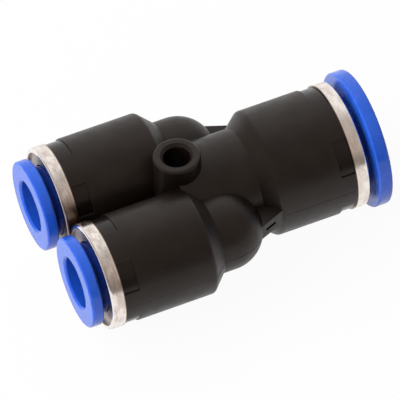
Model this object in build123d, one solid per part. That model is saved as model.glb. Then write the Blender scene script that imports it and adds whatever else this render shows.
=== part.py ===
from build123d import *
import os
from dataclasses import dataclass
from math import atan2, cos, degrees, hypot, radians, sin, tan

# Push-in Y reducer for plastic pressure tube: one large port splits into two
# parallel small ports. A moulded body with a screw boss holds three identical
# sets of push-in parts: mouth ring, release collar, grab ring, backup ring, seal.
#
# Frame: origin at the centre of the mounting hole, halfway up the boss.
# +X points out of the large port, +Z runs along the mounting hole, and the
# small ports point along -X at Y = +-leg_spacing / 2. All sizes in millimetres.

# Tubes and the barrels that take them
small_tube_diameter = 6.0
large_tube_diameter = 8.0
leg_diameter = 12.8
stem_diameter = 15.2
leg_gap = 0.5
leg_spacing = leg_diameter + leg_gap

# Where the body's mouths stand along X
leg_mouth_x = -12.25
stem_mouth_x = 19.3

# Body between the barrels
leg_shoulder_x = -0.9
stem_shoulder_x = 9.9
leg_neck_diameter = 9.2
stem_neck_diameter = 12.2
shoulder_length = 1.8
shoulder_round = 0.6
dome_centre_x = 2.65

# Mounting boss
boss_diameter = 5.6
boss_height = 15.4
boss_round = 0.3
mounting_hole_diameter = 3.2
hole_chamfer = 0.35

# Gusset webs between the domes and the stem
web_thickness = 2.0
web_dome_angle = 29.0
web_dome_setback = 0.05
web_stem_setback = 0.15
web_slot_width = 0.4
web_slot_depth = 0.4
web_slot_share = 0.45
web_slot_offset = -0.1

# Windows sunk into each barrel behind its mouth: a wide and a narrow one above
# the parting plane, and the same two below it, half a turn further round
leg_window_length = 1.95
leg_window_depth = 0.18
stem_window_length = 1.85
stem_window_depth = 0.2
wide_window_rise = 54.5
wide_window_angle = 71.5
narrow_window_rise = 143.5
narrow_window_angle = 34.0

# Release collars, as they show outside the mouth rings
small_flange_diameter = 10.9
small_flange_length = 1.45
small_flange_standoff = 0.7
large_flange_diameter = 16.5
large_flange_length = 1.7
large_flange_standoff = 0.85
flange_round = 0.25
collar_lead_in = 0.25

# Push-in parts, as heights along a port's own axis from the body's mouth
ring_head_length = 1.65
ring_lip_width = 0.5
ring_recess_depth = 0.35
ring_edge_round = 0.3
guide_length = 0.6
ring_skirt_length = 4.6
barb_start = 0.8
barb_count = 3
barb_height = 0.1
barb_pitch = 1.1
grab_thickness = 0.3
grab_drop = 1.35
tooth_slot_width = 0.5
backup_length = 2.4
backup_heel = 0.5
seal_length = 2.2
seat_length = 2.3
seat_chamfer = 0.3

# Walls and clearances of the push-in parts, all radial unless they say axial
tube_clearance = 0.05
collar_wall = 1.15
collar_guide_clearance = 0.1
hook_height = 0.45
hook_clearance = 0.1
hook_axial_play = 0.08
skirt_wall = 0.4
press_clearance = 0.02
stack_play = 0.05
seal_wall = 1.75
tube_bite = 0.15
nose_gap = 0.25
hook_length = 1.0
hook_taper = 0.8
finger_slot_width = 0.8
finger_count = 4

# Rubber lip seal: a heel on the tube side and a lip that a groove sets free
seal_heel_gap = 0.15
seal_rim_width = 0.4
seal_groove_slant = 0.4
seal_groove_depth = 0.95
seal_lip_width = 0.1
seal_lip_end = 0.1
seal_lip_slant = 0.2
seal_lip_root = 1.3
seal_lip_neck = 0.05

# Flow passages
small_passage_diameter = 4.4
large_passage_diameter = 6.0
chamber_end_x = 2.9
chamber_mouth_x = 6.1
chamber_half_width = 5.6
leg_passage_end_x = 5.3

# How far a cutting shape runs past the face that it opens
cut_overrun = 1.0


@dataclass(frozen=True)
class Port:
    """One push-in port. Heights run along its axis, zero at the body's mouth."""

    name: str
    tube: float
    barrel: float
    window_length: float
    window_depth: float
    passage: float
    flange: float
    flange_length: float
    flange_standoff: float
    teeth: int
    x: float
    y: float
    outward: int

    @property
    def bore(self):
        return self.tube / 2 + tube_clearance

    @property
    def collar_radius(self):
        return self.bore + collar_wall

    @property
    def guide_radius(self):
        return self.collar_radius + collar_guide_clearance

    @property
    def hook_radius(self):
        return self.collar_radius + hook_height

    @property
    def relief_radius(self):
        return self.hook_radius + hook_clearance

    @property
    def skirt_radius(self):
        return self.relief_radius + skirt_wall

    @property
    def pocket_radius(self):
        return self.skirt_radius + press_clearance + barb_height

    @property
    def seal_radius(self):
        return self.tube / 2 + seal_wall

    @property
    def bite_radius(self):
        return self.tube / 2 - tube_bite

    @property
    def plane(self):
        return Plane(origin=(self.x, self.y, 0), x_dir=(0, 1, 0), z_dir=(self.outward, 0, 0))


# Heights shared by every port, from the mouth inwards
skirt_end = -ring_skirt_length
grab_top = skirt_end - stack_play
backup_top = grab_top - grab_thickness - stack_play
ledge = backup_top - backup_length
seal_top = ledge - stack_play
seal_end = seal_top - seal_length
seat_top = seal_end - stack_play
tube_stop = seat_top - seat_length

small = dict(
    tube=small_tube_diameter,
    barrel=leg_diameter / 2,
    window_length=leg_window_length,
    window_depth=leg_window_depth,
    passage=small_passage_diameter / 2,
    flange=small_flange_diameter / 2,
    flange_length=small_flange_length,
    flange_standoff=small_flange_standoff,
    teeth=8,
    x=leg_mouth_x,
    outward=-1,
)
ports = [
    Port(
        name="large",
        tube=large_tube_diameter,
        barrel=stem_diameter / 2,
        window_length=stem_window_length,
        window_depth=stem_window_depth,
        passage=large_passage_diameter / 2,
        flange=large_flange_diameter / 2,
        flange_length=large_flange_length,
        flange_standoff=large_flange_standoff,
        teeth=10,
        x=stem_mouth_x,
        y=0.0,
        outward=1,
    ),
    Port(name="left", y=leg_spacing / 2, **small),
    Port(name="right", y=-leg_spacing / 2, **small),
]
large_port = ports[0]
small_ports = ports[1:]


def turned(outline):
    """Solid of revolution about Z from an outline of (radius, height) points."""
    return revolve(make_face(Plane.XZ * Polyline(*outline, close=True)), Axis.Z)


def circles_at(solid, radius, height):
    """Circular edges of a turned solid with one radius at one height."""
    return [
        edge
        for edge in solid.edges().filter_by(GeomType.CIRCLE)
        if abs(edge.radius - radius) < 0.01 and abs(edge.center().Z - height) < 0.01
    ]


# Body -----------------------------------------------------------------------


def barrel_shell(port, shoulder_x, neck, tail):
    """Outside of a leg or the stem: barrel, windows and the shoulder down to its neck."""
    shoulder = -abs(port.x - shoulder_x)
    solid = turned(
        [
            (0, 0),
            (port.barrel, 0),
            (port.barrel, shoulder),
            (neck / 2, shoulder - shoulder_length),
            (neck / 2, tail),
            (0, tail),
        ]
    )
    solid = fillet(circles_at(solid, port.barrel, shoulder), shoulder_round)
    return solid - barrel_windows(port)


def barrel_windows(port):
    """Shallow windows sunk into the barrel at its mouth, a wide and a narrow one in each half."""
    wide = barrel_window(port, wide_window_angle)
    narrow = barrel_window(port, narrow_window_angle)
    windows = []
    for half_turn in (0, 180):
        windows.append(Rot(0, 0, port.outward * wide_window_rise + half_turn) * wide)
        windows.append(Rot(0, 0, port.outward * narrow_window_rise + half_turn) * narrow)
    return windows


def barrel_window(port, angle):
    """Cutting shape of one window, which spans the angle about the barrel's axis."""
    reach = 2 * port.barrel
    spread = reach * tan(radians(angle / 2))
    sector = make_face(Polyline((0, 0), (reach, -spread), (reach, spread), close=True))
    outside = Circle(port.barrel + cut_overrun) - Circle(port.barrel - port.window_depth)
    return extrude(outside & sector, -port.window_length)


def leg(port):
    """A small port's barrel, its neck and the dome that closes it."""
    tail = -abs(port.x - dome_centre_x)
    barrel = barrel_shell(port, leg_shoulder_x, leg_neck_diameter, tail)
    dome = Pos(0, 0, tail) * Sphere(leg_neck_diameter / 2)
    return port.plane.location * (barrel + dome)


def stem():
    """The large port's barrel with the neck that runs back between the legs."""
    tail = -abs(large_port.x - leg_shoulder_x)
    shell = barrel_shell(large_port, stem_shoulder_x, stem_neck_diameter, tail)
    return large_port.plane.location * shell


def web(side):
    """Gusset in the plane of the three ports, from one dome to the stem's shoulder."""
    reach = leg_neck_diameter / 2 - web_dome_setback
    dome_x = dome_centre_x + reach * cos(radians(web_dome_angle))
    dome_y = leg_spacing / 2 + reach * sin(radians(web_dome_angle))
    stem_y = stem_diameter / 2 - web_stem_setback
    outline = [
        (dome_centre_x, 0),
        (dome_centre_x, leg_spacing / 2),
        (dome_x, dome_y),
        (stem_shoulder_x, stem_y),
        (stem_shoulder_x, 0),
    ]
    points = [(x, side * y) for x, y in outline]
    plate = extrude(make_face(Polyline(*points, close=True)), web_thickness / 2, both=True)
    length = hypot(stem_shoulder_x - dome_x, stem_y - dome_y)
    slope = degrees(atan2(stem_y - dome_y, stem_shoulder_x - dome_x))
    middle = Pos((dome_x + stem_shoulder_x) / 2, side * (dome_y + stem_y) / 2, 0)
    slot = Box(length * web_slot_share, 2 * web_slot_depth, web_slot_width)
    slot = Pos(length * web_slot_offset, 0, 0) * slot
    return plate - middle * Rot(0, 0, side * slope) * slot


def boss():
    """Round boss for the mounting screw, the same on both faces."""
    post = Cylinder(boss_diameter / 2, boss_height)
    return fillet(post.edges().filter_by(GeomType.CIRCLE), boss_round)


def pocket(port):
    """Stepped pocket that a port's push-in parts sit in, down to the tube stop."""
    return port.plane.location * turned(
        [
            (0, cut_overrun),
            (port.pocket_radius, cut_overrun),
            (port.pocket_radius, ledge),
            (port.seal_radius, ledge),
            (port.seal_radius, seat_top),
            (port.bore + seat_chamfer, seat_top),
            (port.bore, seat_top - seat_chamfer),
            (port.bore, tube_stop),
            (0, tube_stop),
        ]
    )


def leg_passage(port):
    """Round passage from a small port's tube stop into its dome."""
    stop_x = port.x - port.outward * -tube_stop
    length = leg_passage_end_x - stop_x
    plane = Plane(origin=(stop_x, port.y, 0), z_dir=(1, 0, 0))
    return plane.location * extrude(Circle(port.passage), length)


def stem_passage():
    """Round passage from the large port's tube stop into a flat cross chamber."""
    stop_x = stem_mouth_x + tube_stop
    throat = Plane(origin=(chamber_end_x, 0, 0), z_dir=(1, 0, 0)).location * extrude(
        Circle(large_port.passage), stop_x - chamber_end_x
    )
    height = 2 * small_ports[0].passage
    slot = Plane(origin=(chamber_end_x, 0, 0), x_dir=(0, 1, 0), z_dir=(1, 0, 0))
    section = SlotOverall(2 * chamber_half_width, height)
    return throat + slot.location * extrude(section, chamber_mouth_x - chamber_end_x)


def mounting_hole():
    """Screw hole through the boss with a bevel at each end."""
    radius = mounting_hole_diameter / 2
    mouth = radius + hole_chamfer + cut_overrun
    top = boss_height / 2
    return turned(
        [
            (0, -top - cut_overrun),
            (mouth, -top - cut_overrun),
            (radius, -top + hole_chamfer),
            (radius, top - hole_chamfer),
            (mouth, top + cut_overrun),
            (0, top + cut_overrun),
        ]
    )


def body():
    """The moulded body in one piece."""
    solid = stem() + [leg(port) for port in small_ports]
    solid = solid + [web(1), web(-1), boss()]
    cuts = [pocket(port) for port in ports]
    cuts += [leg_passage(port) for port in small_ports]
    cuts += [stem_passage(), mounting_hole()]
    return solid - cuts


# Push-in parts, each built on its port's axis with the body's mouth at zero ---


def mouth_ring(port):
    """Turned metal sleeve: a visible head, a guide lip and a barbed skirt."""
    lip = port.barrel - ring_lip_width
    floor = ring_head_length - ring_recess_depth
    outline = [
        (port.guide_radius, floor),
        (lip, floor),
        (lip, ring_head_length),
        (port.barrel, ring_head_length),
        (port.barrel, 0),
        (port.skirt_radius, 0),
    ]
    for i in range(barb_count):
        foot = -barb_start - i * barb_pitch
        outline += [
            (port.skirt_radius, foot),
            (port.skirt_radius + barb_height, foot),
            (port.skirt_radius, foot - barb_pitch / 2),
        ]
    outline += [
        (port.skirt_radius, skirt_end),
        (port.relief_radius, skirt_end),
        (port.relief_radius, -guide_length),
        (port.guide_radius, -guide_length),
    ]
    ring = turned(outline)
    return fillet(circles_at(ring, port.barrel, ring_head_length), ring_edge_round)


def tooth_line(port, radius):
    """Height of the upper face of the grab ring's teeth at a radius."""
    root = port.relief_radius
    slope = grab_drop / (root - port.bite_radius)
    return grab_top - (root - radius) * slope


def release_collar(port):
    """Moulded release collar: flange, split barrel, hook and conical nose."""
    back = ring_head_length + port.flange_standoff
    face = back + port.flange_length
    hook = -guide_length - hook_axial_play
    nose = tooth_line(port, port.collar_radius) + nose_gap
    tip = tooth_line(port, port.bore) + nose_gap
    collar = turned(
        [
            (port.bore, tip),
            (port.bore, face - collar_lead_in),
            (port.bore + collar_lead_in, face),
            (port.flange, face),
            (port.flange, back),
            (port.collar_radius, back),
            (port.collar_radius, hook),
            (port.hook_radius, hook),
            (port.hook_radius, hook - hook_length),
            (port.collar_radius, hook - hook_length - hook_taper),
            (port.collar_radius, nose),
        ]
    )
    rims = circles_at(collar, port.flange, face) + circles_at(collar, port.flange, back)
    collar = fillet(rims, flange_round)
    depth = -tip + cut_overrun
    slot = Pos(0, 0, -depth) * Box(
        4 * port.hook_radius, finger_slot_width, depth, align=(Align.CENTER, Align.CENTER, Align.MIN)
    )
    turns = [Rot(0, 0, i * 360 / finger_count) * slot for i in range(finger_count // 2)]
    return collar - turns


def grab_ring(port):
    """Sprung steel ring whose inclined teeth bite the tube."""
    outer = port.skirt_radius
    root = port.relief_radius
    tip_top = tooth_line(port, port.bite_radius)
    ring = turned(
        [
            (outer, grab_top),
            (root, grab_top),
            (port.bite_radius, tip_top),
            (port.bite_radius, tip_top - grab_thickness),
            (root, grab_top - grab_thickness),
            (outer, grab_top - grab_thickness),
        ]
    )
    height = 2 * (grab_drop + 2 * grab_thickness)
    slot = Pos(root / 2, 0, grab_top) * Box(root, tooth_slot_width, height)
    return ring - [Rot(0, 0, i * 360 / port.teeth) * slot for i in range(port.teeth)]


def backup_ring(port):
    """Plastic ring that seats the grab ring and gives its teeth room to open."""
    outer = port.skirt_radius
    return turned(
        [
            (port.relief_radius + stack_play, backup_top),
            (outer, backup_top),
            (outer, ledge),
            (port.bore, ledge),
            (port.bore, ledge + backup_heel),
        ]
    )


def seal(port):
    """Rubber lip seal, open towards the pressure."""
    outer = port.seal_radius - press_clearance
    heel = port.bore + seal_heel_gap
    rim = outer - seal_rim_width
    return turned(
        [
            (heel, seal_top),
            (outer, seal_top),
            (outer, seal_end),
            (rim, seal_end),
            (rim - seal_groove_slant, seal_end + seal_groove_depth),
            (heel + seal_lip_width, seal_end + seal_lip_end),
            (port.bite_radius, seal_end + seal_lip_end + seal_lip_slant),
            (heel - seal_lip_neck, seal_end + seal_lip_root),
        ]
    )


def build():
    """Every node of the part by name."""
    nodes = {"body": body()}
    makers = {
        "release_collar": release_collar,
        "mouth_ring": mouth_ring,
        "grab_ring": grab_ring,
        "backup_ring": backup_ring,
        "seal": seal,
    }
    for port in ports:
        for piece, make in makers.items():
            nodes[f"{port.name}_{piece}"] = port.plane.location * make(port)
    return nodes


os.makedirs("parts", exist_ok=True)
for name, shape in build().items():
    export_step(shape, f"parts/{name}.step")
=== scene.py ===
import logging
from dataclasses import dataclass, field, replace
from enum import Enum
from math import atan2, cos, pi, radians, sin, tan

import bpy
import numpy as np
from mathutils import Matrix, Vector


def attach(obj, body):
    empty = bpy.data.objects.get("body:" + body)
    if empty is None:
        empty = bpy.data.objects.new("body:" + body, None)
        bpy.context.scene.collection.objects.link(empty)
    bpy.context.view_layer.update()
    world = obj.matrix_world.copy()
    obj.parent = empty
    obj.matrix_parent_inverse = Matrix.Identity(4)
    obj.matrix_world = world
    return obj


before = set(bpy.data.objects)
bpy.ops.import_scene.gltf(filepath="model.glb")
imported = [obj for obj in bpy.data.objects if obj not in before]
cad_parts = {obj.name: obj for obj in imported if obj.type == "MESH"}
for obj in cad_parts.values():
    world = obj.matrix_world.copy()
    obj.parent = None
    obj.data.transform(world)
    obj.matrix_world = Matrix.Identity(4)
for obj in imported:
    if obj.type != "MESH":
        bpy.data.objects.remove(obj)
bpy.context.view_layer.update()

LOG = logging.getLogger("push_in_y")
MM = 0.001
RING_HEAD = 1.65  # length of a mouth ring's head, in millimetres
LARGE_RING_DIRT = 0.45  # the large ring is cleaner than the small ones
EDGE_SAMPLES = 6  # rays that the rounded edges of a finish are worked out with

Colour = tuple[float, float, float, float]
Point = tuple[float, float]
Span = tuple[float, float]
Socket = bpy.types.NodeSocket
Surface = tuple[np.ndarray, np.ndarray, np.ndarray]


# Node trees ------------------------------------------------------------------


@dataclass(frozen=True)
class Pattern:
    """A noise pattern: its cells a metre, octaves, and how strong the finer ones are."""

    scale: float
    detail: float = 3.0
    rough: float = 0.5


class Sheet:
    """A node tree with short ways to add nodes and join them."""

    # Places of a Mix node's colour sockets, which share their names with others.
    COLOUR_A, COLOUR_B, COLOUR_OUT = 6, 7, 2

    def __init__(self, tree: bpy.types.NodeTree) -> None:
        """Empties the tree.

        Args:
            tree: The node tree of a material or a world.
        """
        self.tree = tree
        tree.nodes.clear()

    def node(self, kind: str, **settings: object) -> bpy.types.Node:
        """Adds one node.

        Args:
            kind: The node's type name, without "ShaderNode".
            **settings: Properties of the node to set.

        Returns:
            The new node.
        """
        made = self.tree.nodes.new("ShaderNode" + kind)
        for name, value in settings.items():
            setattr(made, name, value)
        return made

    def feed(self, socket: Socket, value: object) -> None:
        """Joins an output to a socket, or sets the socket's own value.

        Args:
            socket: The input socket.
            value: An output socket, a number, a vector or a colour.
        """
        if isinstance(value, Socket):
            self.tree.links.new(value, socket)
        else:
            socket.default_value = value

    def shader(self, kind: str, values: dict[str, object]) -> Socket:
        """Adds a shader node.

        Args:
            kind: The node's type name, without "ShaderNode".
            values: What each named socket gets, as feed takes it.

        Returns:
            The shader's output.
        """
        made = self.node(kind)
        for name, value in values.items():
            self.feed(made.inputs[name], value)
        return made.outputs[0]

    def show(self, shader: Socket, output: str = "OutputMaterial") -> None:
        """Joins a shader to the output of the tree."""
        self.feed(self.node(output).inputs["Surface"], shader)

    def place(self) -> Socket:
        """Object coordinates, in metres."""
        return self.node("TexCoord").outputs["Object"]

    def maths(self, work: str, a: object, b: object = 0.0) -> Socket:
        """Adds a Math node.

        Args:
            work: The operation's name.
            a: First value or output.
            b: Second value or output.

        Returns:
            The node's output.
        """
        made = self.node("Math", operation=work)
        self.feed(made.inputs[0], a)
        self.feed(made.inputs[1], b)
        return made.outputs[0]

    def ramp(
        self,
        value: object,
        low: float,
        high: float,
        out_low: float = 0.0,
        out_high: float = 1.0,
    ) -> Socket:
        """Smoothly maps one range to another, clamped.

        Args:
            value: The output to map.
            low: Value that gives out_low.
            high: Value that gives out_high.
            out_low: Result at low.
            out_high: Result at high.

        Returns:
            The mapped output.
        """
        made = self.node("MapRange", interpolation_type="SMOOTHSTEP")
        for socket, number in zip(made.inputs, (value, low, high, out_low, out_high)):
            self.feed(socket, number)
        return made.outputs[0]

    def step(
        self,
        length: object,
        low: float,
        high: float,
        out_low: float = 0.0,
        out_high: float = 1.0,
    ) -> Socket:
        """Maps a length in metres as ramp does, with low and high in millimetres."""
        return self.ramp(length, low * MM, high * MM, out_low, out_high)

    def split(self, vector: object) -> tuple[Socket, ...]:
        """Splits a vector.

        Args:
            vector: The output to split.

        Returns:
            Its x, y and z.
        """
        made = self.node("SeparateXYZ")
        self.feed(made.inputs[0], vector)
        return tuple(made.outputs)

    def join(self, x: object, y: object, z: object) -> Socket:
        """Joins three values into a vector.

        Args:
            x: First value or output.
            y: Second value or output.
            z: Third value or output.

        Returns:
            The vector.
        """
        made = self.node("CombineXYZ")
        for socket, value in zip(made.inputs, (x, y, z)):
            self.feed(socket, value)
        return made.outputs[0]

    def stretch(self, parts: tuple[object, ...], scales: tuple[float, ...]) -> Socket:
        """Joins three values into a vector, each times its own scale."""
        return self.join(*(self.maths("MULTIPLY", a, b) for a, b in zip(parts, scales)))

    def length(self, a: object, b: object) -> Socket:
        """Distance from an axis, worked out from the two values across it."""
        squares = (self.maths("MULTIPLY", part, part) for part in (a, b))
        return self.maths("SQRT", self.maths("ADD", *squares))

    def mix(self, share: object, a: object, b: object) -> Socket:
        """Mixes two colours.

        Args:
            share: How much of the second colour shows.
            a: First colour.
            b: Second colour.

        Returns:
            The mixed colour.
        """
        made = self.node("Mix", data_type="RGBA")
        self.feed(made.inputs["Factor"], share)
        self.feed(made.inputs[self.COLOUR_A], a)
        self.feed(made.inputs[self.COLOUR_B], b)
        return made.outputs[self.COLOUR_OUT]

    def noise(self, where: object, pattern: Pattern) -> Socket:
        """Adds a noise pattern.

        Args:
            where: Coordinates to read.
            pattern: The pattern's scale and octaves.

        Returns:
            The pattern's value.
        """
        made = self.node("TexNoise")
        self.feed(made.inputs["Vector"], where)
        self.feed(made.inputs["Scale"], pattern.scale)
        self.feed(made.inputs["Detail"], pattern.detail)
        self.feed(made.inputs["Roughness"], pattern.rough)
        return made.outputs["Fac"]

    def bump(self, relief: object, height: float, strength: float, under: object = None) -> Socket:
        """Adds a bump from a height pattern.

        Args:
            relief: The pattern, 0 to 1.
            height: Its real height in millimetres.
            strength: Share of the bump that shows.
            under: The normal that lies under this bump.

        Returns:
            The bent normal.
        """
        made = self.node("Bump")
        self.feed(made.inputs["Height"], relief)
        made.inputs["Distance"].default_value = height * MM
        made.inputs["Strength"].default_value = strength
        if under is not None:
            self.feed(made.inputs["Normal"], under)
        return made.outputs[0]

    def rounded_edge(self, radius: float) -> Socket:
        """Rounds sharp edges to the eye.

        Args:
            radius: How round, in millimetres.

        Returns:
            The bent normal.
        """
        made = self.node("Bevel", samples=EDGE_SAMPLES)
        made.inputs["Radius"].default_value = radius * MM
        return made.outputs[0]


def new_material(name: str) -> tuple[bpy.types.Material, Sheet]:
    """Makes a material with an empty node tree.

    Args:
        name: The material's name.

    Returns:
        The material, and the sheet that adds its nodes.
    """
    made = bpy.data.materials.new(name)
    made.use_nodes = True
    return made, Sheet(made.node_tree)


def rgb(red: float, green: float, blue: float) -> Colour:
    """Colour with full opacity."""
    return (red, green, blue, 1.0)


# Ports -----------------------------------------------------------------------


@dataclass(frozen=True)
class Port:
    """One push-in port: where its mouth stands, and its main sizes, in millimetres.

    Radii: barrel, window_floor, lip_inner (the recess in the ring's front) and
    bore (the collar's). Lengths from the mouth: window_length inwards, and
    flange_back outwards to the back of the collar's flange.
    """

    name: str
    x: float
    y: float
    outward: int
    barrel: float
    window_length: float
    window_floor: float
    lip_inner: float
    bore: float
    flange_back: float

    def ahead(self, sheet: Sheet, x: object, behind: float = 0.0) -> Socket:
        """Measures outwards along the port's axis.

        Args:
            sheet: The material's node tree.
            x: Object coordinate along the axis.
            behind: How far behind the mouth the measure starts.

        Returns:
            outward * (x - start), in metres.
        """
        start = (self.x - self.outward * behind) * MM
        return sheet.maths("MULTIPLY", sheet.maths("SUBTRACT", x, start), float(self.outward))


LARGE = Port(
    "large",
    x=19.3,
    y=0.0,
    outward=1,
    barrel=7.6,
    window_length=1.85,
    window_floor=7.4,
    lip_inner=7.1,
    bore=4.05,
    flange_back=RING_HEAD + 0.85,
)
LEFT = Port(
    "left",
    x=-12.25,
    y=6.65,
    outward=-1,
    barrel=6.4,
    window_length=1.95,
    window_floor=6.22,
    lip_inner=5.9,
    bore=3.05,
    flange_back=RING_HEAD + 0.7,
)
RIGHT = replace(LEFT, name="right", y=-LEFT.y)


class Inner(Enum):
    """The parts that a port hides behind its mouth ring."""

    GRAB_RING = "grab_ring"
    BACKUP_RING = "backup_ring"
    SEAL = "seal"


# Finishes --------------------------------------------------------------------


@dataclass(frozen=True)
class BlackNylon:
    """Satin glass-filled plastic: near black, warm, with a fine mould grain.

    The floors of the windows carry painted shade, a darker colour, and the
    mould leaves them smoother; the boss's two faces are a little smoother.
    Lengths are in millimetres.
    """

    base: Colour = rgb(0.0052, 0.0034, 0.0024)
    dusty: Colour = rgb(0.0092, 0.0066, 0.0050)
    # painted shade: the darker colour laid on the window floors
    floor_shade: Colour = rgb(0.0038, 0.0025, 0.0018)
    roughness: float = 0.40
    roughness_less: float = 0.04
    roughness_more: float = 0.06
    polished: float = 0.23
    index: float = 1.5
    gloss: float = 0.385
    gloss_tint: Colour = rgb(1.0, 0.89, 0.85)
    cloud: Pattern = Pattern(260.0, detail=4.0, rough=0.55)
    cloud_span: Span = (0.38, 0.72)
    speck: Pattern = Pattern(6200.0, detail=2.0, rough=0.6)
    speck_height: float = 0.005
    speck_share: float = 0.6
    flow: Pattern = Pattern(900.0, detail=3.0, rough=0.6)
    flow_span: Span = (0.3, 0.75)
    flow_height: float = 0.018
    flow_share: float = 0.22
    window_edge: Span = (-0.03, 0.02)
    window_blend: float = 0.03
    boss_face: Span = (7.62, 7.68)
    boss_share: float = 0.3
    line_reach: Span = (12.90, 12.98)
    line_edge: Span = (0.02, 0.07)
    line_height: float = 0.04
    edge_round: float = 0.08

    def window_floors(self, sheet: Sheet, place: object) -> Socket:
        """Marks the floors of the windows, which the mould leaves smoother and which carry painted
        shade.

        Args:
            sheet: The material's node tree.
            place: Object coordinates.

        Returns:
            1 on the floors, 0 elsewhere: near a mouth, and nearer to the
            port's axis than a point halfway between floor and barrel.
        """
        x, y, z = sheet.split(place)
        across = sheet.maths("SUBTRACT", sheet.maths("ABSOLUTE", y), LEFT.y * MM)
        marks = []
        for port, side in ((LARGE, y), (LEFT, across)):
            near = sheet.step(port.ahead(sheet, x, port.window_length), *self.window_edge)
            middle = (port.barrel + port.window_floor) / 2
            low, high = middle - self.window_blend, middle + self.window_blend
            deep = sheet.step(sheet.length(side, z), low, high, 1.0, 0.0)
            marks.append(sheet.maths("MULTIPLY", near, deep))
        return sheet.maths("MAXIMUM", *marks)

    def parting_line(self, sheet: Sheet, y: object, z: object) -> Socket:
        """Marks the halves' joint where it runs along a leg's outermost line.

        Args:
            sheet: The material's node tree.
            y: Object coordinate across the legs.
            z: Object coordinate along the boss.

        Returns:
            1 on a thin strip at z = 0 on each leg's outer side, 0 elsewhere.
        """
        outermost = sheet.step(sheet.maths("ABSOLUTE", y), *self.line_reach)
        halfway = sheet.step(sheet.maths("ABSOLUTE", z), *self.line_edge, 1.0, 0.0)
        return sheet.maths("MULTIPLY", outermost, halfway)

    def material(self) -> bpy.types.Material:
        """Builds the material.

        Returns:
            A material whose colour, roughness and bump vary with fine noise,
            smoother in the windows and on the boss's faces.
        """
        made, sheet = new_material("black_nylon")
        place = sheet.place()
        _, y, z = sheet.split(place)
        cloud = sheet.noise(place, self.cloud)
        speck = sheet.noise(place, self.speck)
        flow = sheet.noise(place, self.flow)
        floors = self.window_floors(sheet, place)
        height = sheet.maths("ABSOLUTE", z)
        faces = sheet.step(height, *self.boss_face, 0.0, self.boss_share)
        smooth = sheet.maths("MAXIMUM", floors, faces)
        tint = sheet.mix(sheet.ramp(cloud, *self.cloud_span), self.base, self.dusty)
        low, high = self.roughness - self.roughness_less, self.roughness + self.roughness_more
        worn = sheet.ramp(flow, *self.flow_span, low, high)
        fall = sheet.maths("MULTIPLY", smooth, self.roughness - self.polished)
        edge = sheet.rounded_edge(self.edge_round)
        ridge = sheet.bump(self.parting_line(sheet, y, z), self.line_height, 1.0, edge)
        rough = sheet.maths("MULTIPLY", speck, sheet.maths("SUBTRACT", 1.0, smooth))
        fine = sheet.bump(rough, self.speck_height, self.speck_share, ridge)
        values = {
            # painted shade: the window floors take a darker colour as the recesses' shade
            "Base Color": sheet.mix(floors, tint, self.floor_shade),
            "Roughness": sheet.maths("SUBTRACT", worn, fall),
            "IOR": self.index,
            "Specular IOR Level": self.gloss,
            "Specular Tint": self.gloss_tint,
            "Normal": sheet.bump(flow, self.flow_height, self.flow_share, fine),
        }
        sheet.show(sheet.shader("BsdfPrincipled", values))
        return made


@dataclass(frozen=True)
class BlueAcetal:
    """Smooth moulded acetal in a strong blue, slightly translucent.

    It carries painted shade, a deeper blue, on the guide behind the flange and
    in the bore. Lengths are in millimetres.
    """

    base: Colour = rgb(0.017, 0.102, 0.575)
    pale: Colour = rgb(0.024, 0.120, 0.630)
    # painted shade: the deeper blue laid on the guide behind the flange and in the bore
    deep: Colour = rgb(0.004, 0.036, 0.280)
    roughness: float = 0.17
    roughness_more: float = 0.08
    index: float = 1.48
    scatter: float = 0.45
    scatter_reach: float = 1.2
    scatter_shares: tuple[float, float, float] = (0.15, 0.5, 1.0)
    guide_start: float = 0.25
    guide_end: float = 0.05
    guide_wall: float = 0.2
    bore_edge: Span = (0.02, 0.10)
    bore_shade_share: float = 0.5
    cloud: Pattern = Pattern(420.0)
    tone_span: Span = (0.35, 0.7)
    gloss_span: Span = (0.3, 0.7)
    speck: Pattern = Pattern(3800.0, detail=2.0)
    speck_height: float = 0.004
    speck_share: float = 0.6
    edge_round: float = 0.16

    def material(self, port: Port) -> bpy.types.Material:
        """Builds the material for one port's collar.

        Args:
            port: The port that the collar belongs to.

        Returns:
            A material with faint flow marks and a soft gloss.
        """
        made, sheet = new_material(f"blue_acetal_{port.name}")
        place = sheet.place()
        x, y, z = sheet.split(place)
        ahead = port.ahead(sheet, x)
        radius = sheet.length(sheet.maths("SUBTRACT", y, port.y * MM), z)
        back, bore = port.flange_back, port.bore
        # painted shade on the guide, the part behind the flange that lies in its shadow
        guide = sheet.maths(
            "MULTIPLY",
            sheet.step(ahead, back - self.guide_start, back - self.guide_end, 1.0, 0.0),
            sheet.step(radius, bore, bore + self.guide_wall),
        )
        # painted shade inside the bore
        low, high = (bore + step for step in self.bore_edge)
        bore_shade = sheet.step(radius, low, high, self.bore_shade_share, 0.0)
        cloud = sheet.noise(place, self.cloud)
        speck = sheet.noise(place, self.speck)
        tone = sheet.mix(sheet.ramp(cloud, *self.tone_span), self.base, self.pale)
        rougher = self.roughness + self.roughness_more
        edge = sheet.rounded_edge(self.edge_round)
        values = {
            # painted shade: the guide and the bore take the deeper blue
            "Base Color": sheet.mix(sheet.maths("MAXIMUM", guide, bore_shade), tone, self.deep),
            "Roughness": sheet.ramp(cloud, *self.gloss_span, self.roughness, rougher),
            "IOR": self.index,
            "Subsurface Weight": self.scatter,
            "Subsurface Scale": self.scatter_reach * MM,
            "Subsurface Radius": self.scatter_shares,
            "Normal": sheet.bump(speck, self.speck_height, self.speck_share, edge),
        }
        sheet.show(sheet.shader("BsdfPrincipled", values))
        return made


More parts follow.
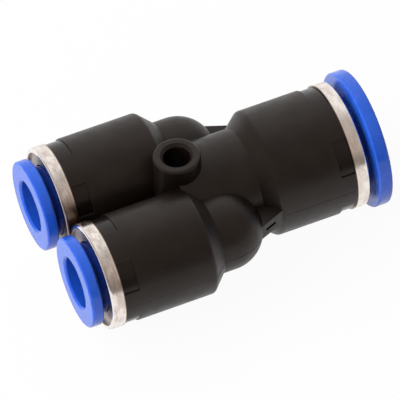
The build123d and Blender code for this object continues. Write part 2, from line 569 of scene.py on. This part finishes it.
@dataclass(frozen=True)
class TurnedNickel:
    """Warm nickel plate over turned brass, with fine turning marks and tarnish.

    The front edge carries a painted highlight, the edge against the body shows
    brass, and the recess in the front is shaded. The small rings carry painted
    shade on the sides that face each other. dirt is how dark the tarnish gets.
    Lengths are in millimetres, from the mouth outwards.
    """

    bright: Colour = rgb(0.910, 0.840, 0.775)
    dull: Colour = rgb(0.42, 0.30, 0.265)
    # painted highlight: the brighter colour of the front edge
    front_highlight: Colour = rgb(0.95, 0.90, 0.86)
    brass: Colour = rgb(0.20, 0.125, 0.060)
    # painted shade: the darker colour where the small rings face each other
    shade_facing_colour: Colour = rgb(0.24, 0.175, 0.14)
    shade: Colour = rgb(0.50, 0.43, 0.40)
    dirt: float = 0.7
    roughness: float = 0.15
    roughness_more: float = 0.16
    rubbed_less: float = 0.08
    recess_more: float = 0.2
    groove: Pattern = Pattern(1.0, detail=3.0, rough=0.65)
    groove_scales: tuple[float, float, float] = (11000.0, 11000.0, 1.4)
    groove_span: Span = (0.2, 0.8)
    groove_dirt: Span = (0.45, 1.0)
    groove_height: float = 0.004
    groove_share: float = 0.6
    stain: Pattern = Pattern(1.0, detail=5.0, rough=0.70)
    stain_scales: tuple[float, float, float] = (1000.0, 480.0, 480.0)
    stain_span: Span = (0.40, 0.62)
    wear_span: Span = (0.3, 0.75)
    front_edge: Span = (RING_HEAD - 0.19, RING_HEAD - 0.07)
    front_share: float = 0.75
    # painted shade between the small rings: the distance from the middle over which it fades
    shade_facing: Span = (1.0, 2.6)
    shade_facing_share: float = 0.85
    joint: Span = (0.03, 0.13)
    joint_share: float = 0.9
    recess_blend: float = 0.03
    edge_round: float = 0.05

    def material(self, port: Port) -> bpy.types.Material:
        """Builds the material for one port, whose axis the turning marks go round.

        Args:
            port: The port that the ring belongs to.

        Returns:
            A metal with rings of fine grooves and duller streaks round it.
        """
        made, sheet = new_material(f"turned_nickel_{port.name}")
        x, y, z = sheet.split(sheet.place())
        ahead = port.ahead(sheet, x)
        side = sheet.maths("SUBTRACT", y, port.y * MM)
        radius = sheet.length(side, z)
        turn = sheet.maths("COSINE", sheet.maths("ARCTAN2", z, side))
        marks = sheet.stretch((ahead, radius, turn), self.groove_scales)
        grooves = sheet.noise(marks, self.groove)
        stain = sheet.noise(sheet.stretch((ahead, side, z), self.stain_scales), self.stain)
        dirty = sheet.maths(
            "MULTIPLY",
            sheet.ramp(stain, *self.stain_span, 0.0, self.dirt),
            sheet.ramp(grooves, *self.groove_span, *self.groove_dirt),
        )
        plate = sheet.mix(dirty, self.bright, self.dull)
        # painted highlight along the front edge, where the roughness is also lowered
        front = sheet.step(ahead, *self.front_edge)
        plate = sheet.mix(sheet.maths("MULTIPLY", front, self.front_share), plate, self.front_highlight)
        # painted shade on the sides of the small rings that face each other
        if port.y:
            between = sheet.maths("ABSOLUTE", y)
            shade_facing = sheet.step(between, *self.shade_facing, self.shade_facing_share, 0.0)
            plate = sheet.mix(shade_facing, plate, self.shade_facing_colour)
        joint = sheet.step(ahead, *self.joint, self.joint_share, 0.0)
        plate = sheet.mix(joint, plate, self.brass)
        low, high = port.lip_inner - self.recess_blend, port.lip_inner + self.recess_blend
        recess = sheet.step(radius, low, high, 1.0, 0.0)
        rougher = self.roughness + self.roughness_more
        worn = sheet.ramp(stain, *self.wear_span, self.roughness, rougher)
        worn = sheet.maths("SUBTRACT", worn, sheet.maths("MULTIPLY", front, self.rubbed_less))
        rough_recess = sheet.maths("MULTIPLY", recess, self.recess_more)
        edge = sheet.rounded_edge(self.edge_round)
        values = {
            "Metallic": 1.0,
            "Base Color": sheet.mix(recess, plate, self.shade),
            "Roughness": sheet.maths("ADD", worn, rough_recess),
            "Normal": sheet.bump(grooves, self.groove_height, self.groove_share, edge),
        }
        sheet.show(sheet.shader("BsdfPrincipled", values))
        return made


@dataclass(frozen=True)
class PlainFinish:
    """A finish of the inner parts: one colour with a little noise, its height in millimetres."""

    name: str
    base: Colour
    worn: Colour
    metallic: float = 0.0
    roughness: float = 0.4
    roughness_more: float = 0.12
    cloud: Pattern = Pattern(700.0, detail=4.0, rough=0.6)
    tone_span: Span = (0.35, 0.7)
    gloss_span: Span = (0.3, 0.7)
    cloud_height: float = 0.006
    cloud_share: float = 0.4

    def material(self) -> bpy.types.Material:
        """Builds the material.

        Returns:
            A material whose colour and roughness vary a little.
        """
        made, sheet = new_material(self.name)
        cloud = sheet.noise(sheet.place(), self.cloud)
        rougher = self.roughness + self.roughness_more
        values = {
            "Metallic": self.metallic,
            "Base Color": sheet.mix(sheet.ramp(cloud, *self.tone_span), self.base, self.worn),
            "Roughness": sheet.ramp(cloud, *self.gloss_span, self.roughness, rougher),
            "Normal": sheet.bump(cloud, self.cloud_height, self.cloud_share),
        }
        sheet.show(sheet.shader("BsdfPrincipled", values))
        return made


SPRING_STEEL = PlainFinish(
    "spring_steel", rgb(0.55, 0.54, 0.53), rgb(0.40, 0.38, 0.36), metallic=1.0, roughness=0.26
)
NATURAL_ACETAL = PlainFinish(
    "natural_acetal", rgb(0.70, 0.68, 0.62), rgb(0.62, 0.59, 0.52), roughness=0.38
)
SEAL_RUBBER = PlainFinish(
    "seal_rubber", rgb(0.012, 0.012, 0.012), rgb(0.022, 0.021, 0.020), roughness=0.55
)


def dress(node: str, material: bpy.types.Material) -> None:
    """Gives a CAD node a new material in every slot.

    Args:
        node: Name of the CAD node.
        material: The material it takes.
    """
    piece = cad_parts[node]
    piece.data.materials.clear()
    piece.data.materials.append(material)
    LOG.info("dressed %s in %s", node, material.name)


# Surfaces --------------------------------------------------------------------


def rounded_line(corners: list[Point], radii: list[float], steps: int = 8) -> np.ndarray:
    """Runs a flat line through corners and rounds each inner one.

    An arc of radius r that touches both runs starts r * tan(turn / 2) before
    its corner, and its centre lies r to the side that the line turns to.

    Args:
        corners: The line's ends and corners, as x and y.
        radii: Radius at each inner corner.
        steps: Points on each arc.

    Returns:
        The line's points, one row each.
    """
    rows = [np.array(corners[:1])]
    for before, corner, after, radius in zip(corners, corners[1:], corners[2:], radii):
        start = atan2(corner[1] - before[1], corner[0] - before[0])
        end = atan2(after[1] - corner[1], after[0] - corner[0])
        turn = (end - start + pi) % (2 * pi) - pi
        side = 1.0 if turn > 0 else -1.0
        reach = radius * tan(abs(turn) / 2)
        forward = np.array((cos(start), sin(start)))
        sideways = np.array((-sin(start), cos(start)))
        centre = np.array(corner) - reach * forward + side * radius * sideways
        angles = start + turn * np.linspace(0.0, 1.0, steps)
        arc = np.stack((np.sin(angles), -np.cos(angles)), axis=1)
        rows.append(centre + side * radius * arc)
    rows.append(np.array(corners[-1:]))
    return np.concatenate(rows)


def run_along(points: np.ndarray) -> np.ndarray:
    """Length run from a line's first point to each of its points."""
    return np.concatenate(([0.0], np.cumsum(np.linalg.norm(np.diff(points, axis=0), axis=1))))


def even_line(points: np.ndarray, spacing: float) -> np.ndarray:
    """Places points evenly along a line.

    Args:
        points: The line's own points.
        spacing: Distance between two points of the result.

    Returns:
        Points found by interpolating x and y over the length run so far.
    """
    run = run_along(points)
    stops = np.linspace(0.0, run[-1], int(run[-1] / spacing) + 2)
    return np.stack([np.interp(stops, run, values) for values in points.T], axis=1)


def bead(
    line: np.ndarray, width: float, height: float, taper: float, around: int = 12
) -> Surface:
    """Carries a flat ellipse along a line in the plane z = 0.

    A point is line(s) + share(s) * (height * cos(a) * outward(s) + width / 2 *
    sin(a) * z), with share(s) = sqrt(min(1, distance to the nearer end /
    taper)), so that both ends close in a point.

    Args:
        line: Points of the line, as x and y.
        width: Full width along z.
        height: How far it stands out to each side of the line.
        taper: Length over which each end rises.
        around: Points round the ellipse.

    Returns:
        Vertices, quads and end triangles.
    """
    run = run_along(line)
    along = np.gradient(line, axis=0)
    along /= np.linalg.norm(along, axis=1)[:, None]
    outward = np.stack((-along[:, 1], along[:, 0]), axis=1)
    to_end = np.minimum(run, run[-1] - run)
    share = np.sqrt(np.clip(to_end / taper, 0.0, 1.0))[1:-1, None]
    angle = np.linspace(0.0, 2 * pi, around, endpoint=False)[None, :]
    lift = share * height * np.cos(angle)
    ring = np.stack(
        (
            line[1:-1, :1] + lift * outward[1:-1, :1],
            line[1:-1, 1:] + lift * outward[1:-1, 1:],
            share * width / 2 * np.sin(angle),
        ),
        axis=2,
    )
    rows = len(ring)
    ends = np.concatenate((line[[0, -1]], np.zeros((2, 1))), axis=1)
    vertices = np.concatenate((ring.reshape(-1, 3), ends))
    row, column = np.meshgrid(np.arange(rows - 1), np.arange(around), indexing="ij")
    here, there = row * around, (row + 1) * around
    after = (column + 1) % around
    quads = np.stack((here + column, there + column, there + after, here + after), axis=2)
    column = np.arange(around)
    after = (column + 1) % around
    first, last = np.full(around, rows * around), np.full(around, rows * around + 1)
    back = (rows - 1) * around
    front_cap = np.stack((first, column, after), axis=1)
    back_cap = np.stack((last, back + after, back + column), axis=1)
    return vertices, quads.reshape(-1, 4), np.concatenate((front_cap, back_cap))


def sixfold_volume(vertices: np.ndarray, triangles: np.ndarray) -> float:
    """Six times the volume: the sum of a . (b x c), above 0 where the faces look outwards."""
    a, b, c = (vertices[triangles[:, place]] for place in range(3))
    return float(np.einsum("ij,ij->", a, np.cross(b, c)))


def add_piece(
    name: str,
    surface: Surface,
    material: bpy.types.Material,
    body: str,
) -> bpy.types.Object:
    """Makes a smooth mesh piece that rides on a CAD body.

    Where the faces look inwards, which a negative volume shows, they are turned.

    Args:
        name: The piece's name.
        surface: Vertices in millimetres, quads and triangles.
        material: Its material.
        body: The CAD body that it rides on.

    Returns:
        The piece.
    """
    vertices, quads, caps = surface
    halves = (caps, quads[:, (0, 1, 2)], quads[:, (0, 2, 3)])
    if sum(sixfold_volume(vertices, half) for half in halves) < 0:
        quads, caps = quads[:, ::-1], caps[:, ::-1]
    mesh = bpy.data.meshes.new(name)
    mesh.from_pydata((vertices * MM).tolist(), [], quads.tolist() + caps.tolist())
    mesh.polygons.foreach_set("use_smooth", np.ones(len(mesh.polygons), dtype=bool))
    mesh.materials.append(material)
    piece = bpy.data.objects.new(name, mesh)
    bpy.context.scene.collection.objects.link(piece)
    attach(piece, body)
    LOG.info("made %s with %d faces", name, len(mesh.polygons))
    return piece


# Sub-assemblies --------------------------------------------------------------


@dataclass
class MouldedBody:
    """The black housing, with the fine bead that the mould's halves leave round it.

    Lengths are in millimetres, and dome_end is an angle in degrees.
    """

    bead_width: float = 0.10
    bead_height: float = 0.02
    bead_taper: float = 0.5
    leg_step: float = 0.08
    stem_step: float = 0.2
    shoulder_x: float = -0.9
    shoulder_length: float = 1.8
    shoulder_round: float = 0.6
    neck: float = 4.6
    neck_round: float = 0.1
    dome_x: float = 2.65
    dome_end: float = 32.0
    dome_steps: int = 40
    stem_start: float = 10.15
    stem_end: float = 19.25
    finish: BlackNylon = field(default_factory=BlackNylon)

    def leg_line(self, side: int) -> np.ndarray:
        """Follows a leg's outer side from its shoulder to the web.

        The run goes down the shoulder's cone, along the neck and round the
        dome's circle, from 90 degrees down to dome_end, where the web starts.

        Args:
            side: 1 for the left leg, -1 for the right one.

        Returns:
            Points at even distances.
        """
        cone_end = self.shoulder_x + self.shoulder_length
        reach = self.shoulder_round * tan(atan2(LEFT.barrel - self.neck, self.shoulder_length) / 2)
        line = rounded_line(
            [
                (self.shoulder_x - reach, LEFT.barrel),
                (self.shoulder_x, LEFT.barrel),
                (cone_end, self.neck),
                (self.dome_x, self.neck),
            ],
            [self.shoulder_round, self.neck_round],
        )
        angles = np.radians(np.linspace(90.0, self.dome_end, self.dome_steps)[1:])
        dome = self.neck * np.stack((np.cos(angles), np.sin(angles)), axis=1)
        dome[:, 0] += self.dome_x
        line = even_line(np.concatenate((line, dome)), self.leg_step)
        line = line[line[:, 0] > self.shoulder_x]
        return np.stack((line[:, 0], side * (LEFT.y + line[:, 1])), axis=1)

    def stem_line(self, side: int) -> np.ndarray:
        """Runs straight along the stem's barrel.

        Args:
            side: 1 for the left side, -1 for the right one.

        Returns:
            Points at even distances.
        """
        y = side * LARGE.barrel
        ends = np.array(((self.stem_start, y), (self.stem_end, y)))
        return even_line(ends, self.stem_step)

    def build(self) -> None:
        """Dresses the housing and lays the four beads."""
        black = self.finish.material()
        dress("body", black)
        for name, side in (("left", 1), ("right", -1)):
            for part, line in (("leg", self.leg_line(side)), ("stem", self.stem_line(side))):
                shape = bead(line, self.bead_width, self.bead_height, self.bead_taper)
                add_piece(f"parting_bead_{name}_{part}", shape, black, "housing")


@dataclass
class PushInEnd:
    """Mouth ring, release collar and the hidden parts of one port."""

    port: Port
    inner: dict[Inner, bpy.types.Material]
    plate: TurnedNickel
    collar: BlueAcetal = field(default_factory=BlueAcetal)

    def build(self) -> None:
        """Dresses each part of the port."""
        dress(f"{self.port.name}_mouth_ring", self.plate.material(self.port))
        dress(f"{self.port.name}_release_collar", self.collar.material(self.port))
        for part, material in self.inner.items():
            dress(f"{self.port.name}_{part.value}", material)


# Studio ----------------------------------------------------------------------


@dataclass(frozen=True)
class Lamp:
    """A square soft lamp that points at the part: place and side in metres, power in watts."""

    name: str
    place: tuple[float, float, float]
    side: float
    power: float

    def build(self) -> None:
        """Adds the lamp, which gloss doesn't mirror."""
        light = bpy.data.lights.new(self.name, "AREA")
        light.size = self.side
        light.energy = self.power
        lamp = bpy.data.objects.new(self.name, light)
        lamp.location = self.place
        lamp.rotation_mode = "QUATERNION"
        lamp.rotation_quaternion = (-Vector(self.place)).to_track_quat("-Z", "Y")
        lamp.visible_glossy = False
        bpy.context.scene.collection.objects.link(lamp)


@dataclass
class Studio:
    """Pale floor, white surroundings, soft lamps and the camera.

    Angles are in degrees. The camera's distance and its shifts across and up,
    and the floor's height, are in millimetres; the floor's half side and the
    camera's clips are in metres. The surroundings' directions are dot products
    with light_middle, from -1 to 1.
    """

    floor_z: float = -8.3
    floor_half: float = 1.5
    floor_mottle: Pattern = Pattern(40.0)
    floor_low: Colour = rgb(0.74, 0.74, 0.74)
    floor_high: Colour = rgb(0.76, 0.76, 0.76)
    floor_glow: float = 0.95
    azimuth: float = -20.83
    elevation: float = 47.28
    roll: float = -3.62
    distance: float = 932.0
    pan: float = 2.371
    rise: float = 0.053
    lens: float = 723.4
    sensor: float = 36.0
    clips: Span = (0.05, 20.0)
    light_middle: tuple[float, float, float] = (0.2916, 0.765, 0.574)
    dark: float = 0.15
    dark_at: float = -0.75
    grey: float = 0.48
    grey_at: float = -0.10
    grey_to: float = 0.45
    fill: float = 0.08
    warm: Colour = rgb(1.10, 0.96, 0.88)
    white: Colour = rgb(1, 1, 1)
    lamps: tuple[Lamp, ...] = (
        Lamp("key", (-0.52, 0.03, 0.50), side=0.75, power=7.6),
        Lamp("back", (0.06, 0.60, 0.46), side=0.70, power=3.6),
        Lamp("front", (-0.50, -0.52, 0.22), side=0.45, power=1.5),
    )

    def build(self) -> None:
        """Makes the floor, the surroundings, the lamps and the camera."""
        self.floor()
        self.surroundings()
        for lamp in self.lamps:
            lamp.build()
        self.camera()

    def rays(self, sheet: Sheet) -> tuple[Socket, Socket, Socket]:
        """Tells from which ray a point is seen.

        Args:
            sheet: The node tree of the floor or the surroundings.

        Returns:
            1 or 0 for a camera ray, a mirrored or refracted ray, and either.
        """
        ray = sheet.node("LightPath").outputs
        mirrored = sheet.maths("MAXIMUM", ray["Is Glossy Ray"], ray["Is Transmission Ray"])
        eye = ray["Is Camera Ray"]
        return eye, mirrored, sheet.maths("MAXIMUM", mirrored, eye)

    def floor(self) -> None:
        """Flat square floor under the part, nearly white to the eye and still shaded."""
        h = self.floor_half
        mesh = bpy.data.meshes.new("floor")
        mesh.from_pydata([(-h, -h, 0), (h, -h, 0), (h, h, 0), (-h, h, 0)], [], [(0, 1, 2, 3)])
        mesh.transform(Matrix.Translation((0, 0, self.floor_z * MM)))
        floor = bpy.data.objects.new("floor", mesh)
        bpy.context.scene.collection.objects.link(floor)
        made, sheet = new_material("pale_floor")
        mottle = sheet.noise(sheet.place(), self.floor_mottle)
        tint = sheet.mix(mottle, self.floor_low, self.floor_high)
        seen = self.rays(sheet)[2]
        both = sheet.node("MixShader")
        sheet.feed(both.inputs[0], sheet.maths("MULTIPLY", seen, self.floor_glow))
        sheet.feed(both.inputs[1], sheet.shader("BsdfDiffuse", {"Color": tint}))
        glow = {"Color": self.white, "Strength": 1.0}
        sheet.feed(both.inputs[2], sheet.shader("Emission", glow))
        sheet.show(both.outputs[0])
        mesh.materials.append(made)

    def level(self, sheet: Sheet) -> Socket:
        """How bright the surroundings are to gloss, for each direction.

        Args:
            sheet: The world's node tree.

        Returns:
            White round the middle of the light, which hangs behind the part
            and half way up, then grey, then dark and warm on the far side.
        """
        towards = sheet.node("VectorMath", operation="DOT_PRODUCT")
        sheet.feed(towards.inputs[0], sheet.node("TexCoord").outputs["Generated"])
        towards.inputs[1].default_value = self.light_middle
        turned = towards.outputs["Value"]
        pale = sheet.maths(
            "ADD",
            sheet.ramp(turned, self.dark_at, self.grey_at, self.dark, self.grey),
            sheet.ramp(turned, self.grey_to, 1.0, 0.0, 1.0 - self.grey),
        )
        tinted = sheet.node("VectorMath", operation="SCALE")
        warmth = sheet.ramp(turned, self.grey_at, 1.0)
        sheet.feed(tinted.inputs[0], sheet.mix(warmth, self.warm, self.white))
        sheet.feed(tinted.inputs["Scale"], pale)
        return tinted.outputs["Vector"]

    def surroundings(self) -> None:
        """White to the eye, as level says to gloss and glass, and a faint fill to the rest."""
        world = bpy.data.worlds.new("surroundings")
        bpy.context.scene.world = world
        world.use_nodes = True
        sheet = Sheet(world.node_tree)
        eye, _, seen = self.rays(sheet)
        level = sheet.mix(eye, self.level(sheet), self.white)
        soft = {"Color": self.white, "Strength": self.fill}
        clear = {"Color": level, "Strength": 1.0}
        both = sheet.node("MixShader")
        sheet.feed(both.inputs[0], seen)
        sheet.feed(both.inputs[1], sheet.shader("Background", soft))
        sheet.feed(both.inputs[2], sheet.shader("Background", clear))
        sheet.show(both.outputs[0], "OutputWorld")

    def camera(self) -> None:
        """Camera on a long lens, turned a little about its own axis."""
        az, el, roll = (radians(a) for a in (self.azimuth, self.elevation, self.roll))
        back = np.array((sin(az) * cos(el), -cos(az) * cos(el), sin(el)))
        right = np.array((cos(az), sin(az), 0.0))
        up = np.cross(back, right)
        across = cos(roll) * right + sin(roll) * up
        upright = -sin(roll) * right + cos(roll) * up
        place = (back * self.distance + across * self.pan + upright * self.rise) * MM
        lens = bpy.data.cameras.new("camera")
        lens.sensor_width = self.sensor
        lens.lens = self.lens
        lens.clip_start, lens.clip_end = self.clips
        eye = bpy.data.objects.new("camera", lens)
        turn = np.eye(4)
        turn[:3] = np.stack((across, upright, back, place), axis=1)
        eye.matrix_world = Matrix(turn.tolist())
        bpy.context.scene.collection.objects.link(eye)
        bpy.context.scene.camera = eye


def main() -> None:
    """Dresses the part, adds its own pieces and builds the studio round it."""
    logging.basicConfig(level=logging.INFO, format="%(name)s: %(message)s")
    bpy.context.scene.view_settings.view_transform = "Standard"
    Studio().build()
    MouldedBody().build()
    plain, cleaner = TurnedNickel(), TurnedNickel(dirt=LARGE_RING_DIRT)
    inner = {
        Inner.GRAB_RING: SPRING_STEEL.material(),
        Inner.BACKUP_RING: NATURAL_ACETAL.material(),
        Inner.SEAL: SEAL_RUBBER.material(),
    }
    for port, plate in ((LARGE, cleaner), (LEFT, plain), (RIGHT, plain)):
        PushInEnd(port, inner, plate).build()


if __name__ == "__main__":
    main()
